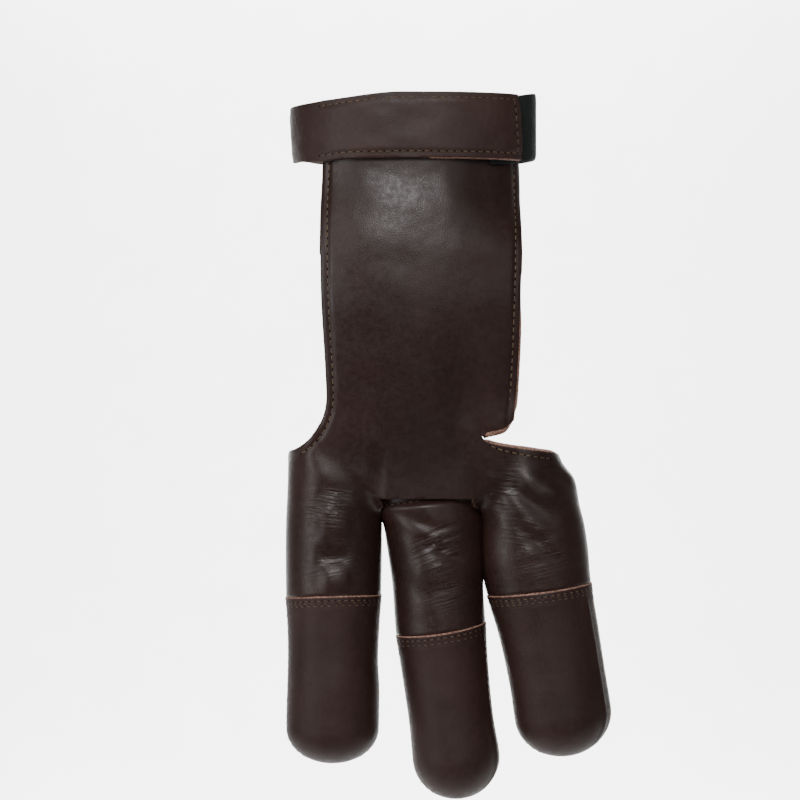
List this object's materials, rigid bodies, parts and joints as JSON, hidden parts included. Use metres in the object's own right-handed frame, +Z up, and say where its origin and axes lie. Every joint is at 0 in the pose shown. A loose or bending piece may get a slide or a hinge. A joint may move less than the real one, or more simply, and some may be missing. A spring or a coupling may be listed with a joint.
{
  "type": "archery glove",
  "caption": "Dark brown leather finger glove for drawing a bowstring: palm panel, stalls with capped tips, strap and elastic round the wrist.",
  "frame": {"origin": "centre of the wrist loop, where the glove sits on the wrist", "axes": "+Z up the forearm, away from the fingertips; -Y is the palm side; +X is towards the little finger"},
  "size_m": [0.0943, 0.0471, 0.2039],
  "materials": {
    "soft_leather": "smooth full-grain, semi-gloss",
    "cap_leather": "smooth full-grain, satin",
    "strap_leather": "smooth full-grain, satin",
    "black_elastic": "woven, matt"
  },
  "bodies": {
    "root": {"palm_leather": "soft_leather", "middle_front": "soft_leather", "index_back": "soft_leather", "middle_back": "soft_leather", "ring_back": "soft_leather", "index_cap_front": "cap_leather", "index_cap_back": "cap_leather", "middle_cap_front": "cap_leather", "middle_cap_back": "cap_leather", "ring_cap_front": "cap_leather", "ring_cap_back": "cap_leather", "wrist_strap": "strap_leather", "elastic_band": "black_elastic"}
  },
  "joints": []
}
